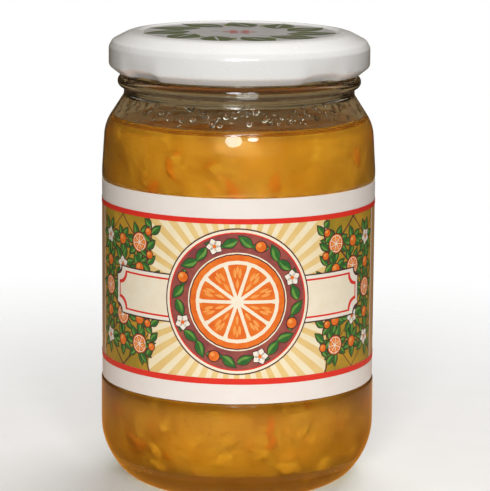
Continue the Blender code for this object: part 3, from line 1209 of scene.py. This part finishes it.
for number in range(-13, 14):
    for lean in (-1, 1):
        shift = lean * ROWS * COLUMN / 2
        bar = bar_shape(number * 2 * COLUMN - shift, number * 2 * COLUMN + shift)
        for side in (-1, 1):
            outside_field = cut(bar, side, 0, FIELD_HALF)
            shape = on_picture(outside_field) if len(outside_field) > 2 else []
            if len(shape) > 2:
                ink(3, "twig", shape)
print("trellis bars:", len(prints[3, "twig"]))

# %% [markdown]
# Leaves grow round every place where bars cross or pass half way, with a slice, a blossom or a berry on
# them by turns. Each leaf is a little different in length, width and direction, because a printed pattern
# of equal leaves would look stamped.

# %% Hang leaves and fruit on the trellis
draw = random.Random(21)
places = [(number, row) for row in range(1, ROWS) for number in range(-7, 8)
          if FIELD_HALF + 1.5 < abs(number * COLUMN) < PICTURE_HALF - 3]
for number, row in places:
    s, t = number * COLUMN, PICTURE_LOW + row * ROW
    at_crossing = (number + row - ROWS // 2) % 2 == 0
    leaves, first_way, start = (7, 0.3, 1.6) if at_crossing else (5, 0.8, 0.6)
    for turn in range(leaves):
        way = 2 * math.pi * (turn + draw.uniform(-0.16, 0.16)) / leaves + first_way
        print_leaf(4, s + start * math.cos(way), t + start * math.sin(way), way,
                   draw.uniform(3.2, 4.3), draw.uniform(1.7, 2.2))
    if at_crossing and (number + row) % 4 < 2:
        print_slice(7, s, t, 2.6, 7, draw.uniform(0, 0.7))
    elif at_crossing:
        print_blossom(7, s, t, 2.3, draw.uniform(0, 1.2))
    else:
        print_berry(7, s, t, 1.45)
print("places with leaves:", len(places))

# %% [markdown]
# ## Garlands
# The hard line between the rays and the trellis is hidden by an upright garland on each side: a wavy stem
# with leaves that lean out by turns, and a small berry now and then. Near the upper stripe the
# leaves are kept short, so that none grows over it.

# %% Lay out the garlands
STEM_STEPS = 40
STEM_HALF = 0.28

for side in (-1, 1):
    stem = []
    for step in range(STEM_STEPS + 1):
        share = step / STEM_STEPS
        swing = 0.9 * math.sin(6 * math.pi * share)
        stem.append((side * (FIELD_HALF - 0.2 + swing), PICTURE_LOW + 2 * HALF_HEIGHT * share))
    ink(6, "twig", [(s - STEM_HALF, t) for s, t in stem] + [(s + STEM_HALF, t) for s, t in stem[::-1]])
    for step in range(2, STEM_STEPS, 2):
        s, t = stem[step]
        out = 1 if step % 4 else -1
        way = math.pi / 2 - out * side * (0.8 + draw.uniform(-0.15, 0.15))
        length = min(draw.uniform(3.2, 4.2), (PICTURE_HIGH - t) / max(0.3, math.sin(way)) - 0.6)
        if length > 1.6:
            print_leaf(7, s, t, way, length, draw.uniform(1.5, 1.9))
        if step % 6 == 0:
            print_berry(10, s - out * side * 1.1, t + 0.5, 1.0)
print("garlands at", FIELD_HALF, "mm")

# %% [markdown]
# ## Name plates
# Two pale plates reach out from behind the cut orange, and are left bare. Each has scooped outer corners, a
# dark edge and a thin red line inside it: the same shape four times, printed smaller each time.

# %% Lay out the bare name plates
PLATE_INNER, PLATE_OUTER, PLATE_HALF = 15.0, 38.5, 6.2
SCOOP = 2.4
PLATE_LAYERS = ((13, "dark", -0.35), (14, "white", 0.0), (15, "red", 0.9), (16, "cream", 1.4))


def plate_shape(side, inset):
    """A name plate to one side of the big slice."""
    outer, half, scoop = PLATE_OUTER - inset, PLATE_HALF - inset, SCOOP + inset * 0.6
    corner = [(outer - scoop * math.sin(a), half - scoop * math.cos(a))
              for a in (math.pi / 2 * k / 6 for k in range(7))]
    upper = [(PLATE_INNER, half)] + corner[::-1]
    shape = upper + [(s, -t) for s, t in upper[::-1]]
    return [(side * s, MIDDLE + t) for s, t in shape]


for side in (-1, 1):
    for layer, colour, inset in PLATE_LAYERS:
        ink(layer, colour, plate_shape(side, inset))
print(f"name plates {2 * PLATE_HALF:.1f} mm high")

# %% [markdown]
# ## The cut orange in its wreath
# The middle of the front is a plum ring between a cream and a red line, with a wreath of leaves on it that
# lean in and out by turns, berries and blossoms between them, and the big cut orange inside.

# %% Lay out the ring, the wreath and the big slice
RING_R, RING_INNER = 19.3, 13.2
BIG_SLICE_R = 12.6
RING_LAYERS = ((17, "dark", RING_R + 0.35), (18, "cream", RING_R), (19, "red", RING_R - 0.7),
               (20, "plum", RING_R - 1.05), (21, "cream", RING_INNER))
WREATH = 24
WREATH_IN, WREATH_OUT, WREATH_MIDDLE = 15.1, 16.5, 15.9
WREATH_LEAF = (4.8, 2.4)

for layer, colour, radius in RING_LAYERS:
    ink(layer, colour, moved(disc(radius, 72), 0, MIDDLE))
for number in range(WREATH):
    way = 2 * math.pi * number / WREATH
    radius, lean = (WREATH_IN, -0.42) if number % 2 else (WREATH_OUT, 0.42)
    print_leaf(21, radius * math.cos(way), MIDDLE + radius * math.sin(way),
               way + math.pi / 2 + lean, *WREATH_LEAF)
for number in range(WREATH // 3):
    way = 2 * math.pi * (number + 0.5) / (WREATH // 3)
    s, t = WREATH_MIDDLE * math.cos(way), MIDDLE + WREATH_MIDDLE * math.sin(way)
    if number % 2:
        print_berry(24, s, t, 1.4)
    else:
        print_blossom(24, s, t, 2.2, way)
print_slice(22, 0, MIDDLE, BIG_SLICE_R, 10, math.pi / 10)
print(f"ring {2 * RING_R:.1f} mm wide")

# %% [markdown]
# ## Side panels
# Seen from the side, the label goes on with its tan panels. They are plain, so that the front stays the main
# thing: a double frame, a pale field with ruled lines, and a small cut orange between leaves above it.

# %% Lay out the side panels
FRAME_IN, FRAME_OUT, FRAME_UP = 6.0, 7.0, 4.5  # from the picture, the opening and the stripes
FRAME_BARS = ((0.0, 0.45), (1.2, 0.25))  # inset and thickness
NOTE_INSET, NOTE_TOP = 3.2, 9.5
LINE_INSET, LINE_THICK, LINES = 4.6, 0.18, 5
SLICE_DROP = 5.3


def frame_shapes(left, right, low, high, thickness):
    """Four bars round a box, with their outer edges on its sides."""
    return [
        block(left, low, right, low + thickness),
        block(left, high - thickness, right, high),
        block(left, low + thickness, left + thickness, high - thickness),
        block(right - thickness, low + thickness, right, high - thickness),
    ]


for side in (-1, 1):
    inner, outer = PICTURE_HALF + FRAME_IN, HALF_WRAP - FRAME_OUT
    left, right = (inner, outer) if side > 0 else (-outer, -inner)
    low, high = PICTURE_LOW + FRAME_UP, PICTURE_HIGH - FRAME_UP
    for inset, thickness in FRAME_BARS:
        for bar in frame_shapes(left + inset, right - inset, low + inset, high - inset, thickness):
            ink(3, "twig", bar)
    ink(3, "cream", block(left + NOTE_INSET, low + NOTE_INSET, right - NOTE_INSET, high - NOTE_TOP))
    for step in range(1, LINES + 1):
        height = low + NOTE_INSET + (high - low - NOTE_INSET - NOTE_TOP) * step / (LINES + 1)
        ink(4, "twig", block(left + LINE_INSET, height, right - LINE_INSET, height + LINE_THICK))
    s, t = (left + right) / 2, high - SLICE_DROP
    print_slice(4, s, t, 2.9, 8, 0.2)
    for way in (0, math.pi):
        for turn, length, width in ((0.25, 4.6, 2.0), (-0.35, 4.0, 1.8)):
            print_leaf(4, s + 3.4 * math.cos(way), t, way + turn, length, width)
print("shapes to print:", sum(len(shapes) for shapes in prints.values()))


# %% [markdown]
# ## The printed label
# The paper has a real thickness, so that its edge shows against the glass, and it is open at the back by the
# width of a finger. Last, every kept shape is cut, wrapped and raised to its own layer.

# %% Wrap the paper and print it
def build_paper():
    mesh = bmesh.new()
    count = math.floor(HALF_WRAP / PAPER_OUT / FACET)
    end = HALF_WRAP / PAPER_OUT
    low, high = LABEL_Z
    section = ((PAPER_IN, low), (PAPER_OUT, low), (PAPER_OUT, high), (PAPER_IN, high))
    sections = [[mesh.verts.new(on_cylinder(r, angle, z)) for r, z in section]
                for angle in [-end] + [k * FACET for k in range(-count, count + 1)] + [end]]
    for one, other in zip(sections, sections[1:]):
        bridge(mesh, one, other)
    mesh.faces.new(sections[0])
    mesh.faces.new(sections[-1])
    bmesh.ops.recalc_face_normals(mesh, faces=mesh.faces[:])
    return finish_mesh("label_paper", mesh)


dress(build_paper(), PAPER, "paper", "label")
for (layer, colour), shapes in sorted(prints.items()):
    print_mesh = flat_cut(shapes)
    wrap(print_mesh, layer)
    dress(finish_mesh(f"print_{layer:02d}_{colour}", print_mesh), INKS[colour], "paper")


# %% [markdown]
# ## The lid's lacquer
# The lid is thin steel, lacquered white and baked. Lacquer is glossy with a clear coat over the colour, has
# a faint ripple like orange peel, and is a little duller in patches where it was rubbed. The printed
# colours of its middle lie under the same coat.

# %% Make the lacquer materials
def make_lacquer(name, colour, other, roughness):
    material, tree, shader = new_material(
        name, Roughness=roughness, Coat_Weight=0.5, Coat_Roughness=0.08, Specular_IOR_Level=0.5)
    patch = paint(tree, shader, linear(*colour), linear(*other), 160.0, 0.5)
    add_bump(tree, shader, add_mottle(tree, WHITE, BLACK, 900.0, 1.0), 0.16, 0.00015)
    rubbed = add_node(tree, "ShaderNodeMapRange", {
        "Value": patch.outputs["Mask"], "To Min": roughness * 0.8, "To Max": roughness * 1.5,
    })
    tree.links.new(rubbed.outputs["Result"], shader.inputs["Roughness"])
    return material


LACQUER = make_lacquer("white lacquer", (240, 240, 238), (232, 232, 228), 0.2)
LID_INKS = {
    "grey": make_lacquer("grey lacquer", (196, 196, 195), (188, 188, 187), 0.3),
    "green": make_lacquer("dull green lacquer", (98, 115, 82), (86, 100, 86), 0.3),
    "olive": make_lacquer("olive lacquer", (132, 146, 82), (118, 130, 84), 0.3),
    "rose": make_lacquer("faded red lacquer", (206, 124, 128), (198, 138, 138), 0.3),
}
print("lacquers:", LACQUER.name, [item.name for item in LID_INKS.values()])

# %% [markdown]
# ## Sheet steel
# The lid is an even sheet, pressed to shape. A Solidify modifier could thicken its outer side, but here the
# inner side is found corner by corner, so that both sides stay smooth arcs. Where the sheet turns left, the
# inner arc is larger than the outer one, and where it turns right, smaller.

# %% Helper that finds the inner side of a sheet
def inner_side(corners, thickness):
    """These corners moved in by a sheet's thickness, to the right of the way that they run."""
    shifted = []
    for index, (r, z, rounding) in enumerate(corners):
        here = Vector((r, z))
        last = Vector(corners[max(index - 1, 0)][:2])
        after = Vector(corners[min(index + 1, len(corners) - 1)][:2])
        first_way = (here - last).normalized() if index > 0 else (after - here).normalized()
        next_way = (after - here).normalized() if index < len(corners) - 1 else first_way
        sideways = Vector((first_way.y, -first_way.x)) + Vector((next_way.y, -next_way.x))
        place = here + sideways * (thickness * 2 / sideways.length_squared)
        left_turn = first_way.x * next_way.y - first_way.y * next_way.x > 0
        shifted.append((place.x, place.y, max(0.2, rounding + (thickness if left_turn else -thickness))))
    return shifted


print("1 mm inside a level sheet:", [round(v, 2) for v in inner_side([(0, 5, 0), (9, 5, 0)], 1.0)[0]])

# %% [markdown]
# ## The lid's outline
# The lid has a sunken middle, a raised ring that falls gently to a round shoulder, an upright skirt, and a
# rolled edge at its foot. The roll is a short lip that turns in, because its inside is never seen.

# %% Lay out the lid's outline
LID_PANEL_R, LID_PANEL_Z = 26.6, 124.2
RING_FALL_R = 30.5
SKIRT_TURN_Z = 115.4
ROLL_R, ROLL_END_R = 33.1, 32.0
SHEET = 0.6


def lid_outline():
    sheet = [
        (0, LID_PANEL_Z, 0),
        (LID_PANEL_R, LID_PANEL_Z, 0.9),
        (LID_PANEL_R + 1.1, LID_TOP_Z, 0.9),
        (RING_FALL_R, LID_TOP_Z - 0.4, 6.0),
        (LID_R - 0.9, LID_TOP_Z - 2.6, 1.6),
        (LID_R, LID_TOP_Z - 4.3, 1.6),
        (LID_R, SKIRT_TURN_Z, 1.4),
        (ROLL_R, LID_FOOT_Z, 0.5),
    ]
    roll = [(ROLL_END_R, LID_FOOT_Z, 0.35), (ROLL_END_R, LID_FOOT_Z + 1.3, 0)]
    under = inner_side(sheet, SHEET)[-2::-1]
    under[-1] = (*under[-1][:2], 0)
    return rounded(sheet + roll + under)


print("points round the lid's section:", len(lid_outline()))

# %% [markdown]
# ## The lugs
# The foot of the skirt is pressed in at four places, the lugs that grip the thread of the glass. The press is
# deepest at the very foot, dies away up the skirt and to both sides, and lifts the foot a little.

# %% Turn the lid
LUGS = 4
LUG_AT = math.radians(40.5)
LUG_HALF_WIDTH = math.radians(13)
LUG_DEPTH, LUG_LIFT = 0.9, 0.35
LUG_TOP_Z, LUG_FADE = 117.5, 2.5


def lug_press(angle, r, z):
    if z > LUG_TOP_Z:
        return r, z
    reach = min(1.0, (LUG_TOP_Z - z) / LUG_FADE)
    reach = reach * reach * (3 - 2 * reach)
    near = min(turn_apart(angle - LUG_AT, 2 * math.pi / LUGS * lug) for lug in range(LUGS))
    press = max(0.0, 1 - (near / LUG_HALF_WIDTH) ** 2) ** 2 * (1 + 2 * (near / LUG_HALF_WIDTH) ** 2)
    return r - LUG_DEPTH * reach * press, z + LUG_LIFT * reach * press


lid = turned("lid_shell", lid_outline(), FINE_SIDES, lug_press)
dress(lid, LACQUER, "lacquer", "lid")

# %% [markdown]
# ## The lid's middle
# The sunken middle is printed grey, with a wreath of plain leaves round a small pale red flower. It uses the
# same flat shapes as the label, without any wrapping, each colour two hundredths of a millimetre above the
# last.

# %% Print the lid's middle
PANEL_LAYER = 0.02
LID_LEAVES = 11
GREEN_R, OLIVE_R, PETAL_R = 13.6, 15.6, 0.9


def flat_print(name, shapes, layer, material):
    mesh = bmesh.new()
    z = (LID_PANEL_Z + layer * PANEL_LAYER) * MM
    for shape in shapes:
        mesh.faces.new([mesh.verts.new((x * MM, y * MM, z)) for x, y in shape])
    bmesh.ops.recalc_face_normals(mesh, faces=mesh.faces[:])
    for face in mesh.faces:
        if face.normal.z < 0:
            face.normal_flip()
    dress(finish_mesh(name, mesh), material, "lacquer")


def fanned(shape, radius, count, first, lean, behind=0.0):
    """A shape set round a ring, each turned by its own angle and a lean."""
    ways = [2 * math.pi * (number + first) / count for number in range(count)]
    return [moved(shape, radius * math.cos(way - behind), radius * math.sin(way - behind), way + lean)
            for way in ways]


flat_print("lid_print_1_grey", [disc(LID_PANEL_R - 0.5, 96)], 1, LID_INKS["grey"])
for name, shapes, layer, colour in (
    ("2_olive", fanned(leaf_shape(8.2, 3.4), OLIVE_R, LID_LEAVES, 0.35, -0.5, behind=0.12), 2, "olive"),
    ("3_green", fanned(leaf_shape(14.6, 8.6), GREEN_R, LID_LEAVES, 0.35, 0.62), 3, "green"),
    ("4_veins", fanned(leaf_shape(12.6, 0.7), GREEN_R, LID_LEAVES, 0.35, 0.62), 4, "grey"),
    ("5_flower", fanned(leaf_shape(4.2, 2.2), PETAL_R, 6, 0, 0), 3, "rose"),
):
    flat_print(f"lid_print_{name}", shapes, layer, LID_INKS[colour])

# %% [markdown]
# ## Boxes
# The dressed model should fill the same box as the imported one. Both boxes are printed.

# %% Print both boxes and finish
dressed_box = [list(corner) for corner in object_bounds()]
for what, box in (("packed box", cad_box), ("dressed box", dressed_box)):
    print(what, [[round(v, 4) for v in corner] for corner in box])
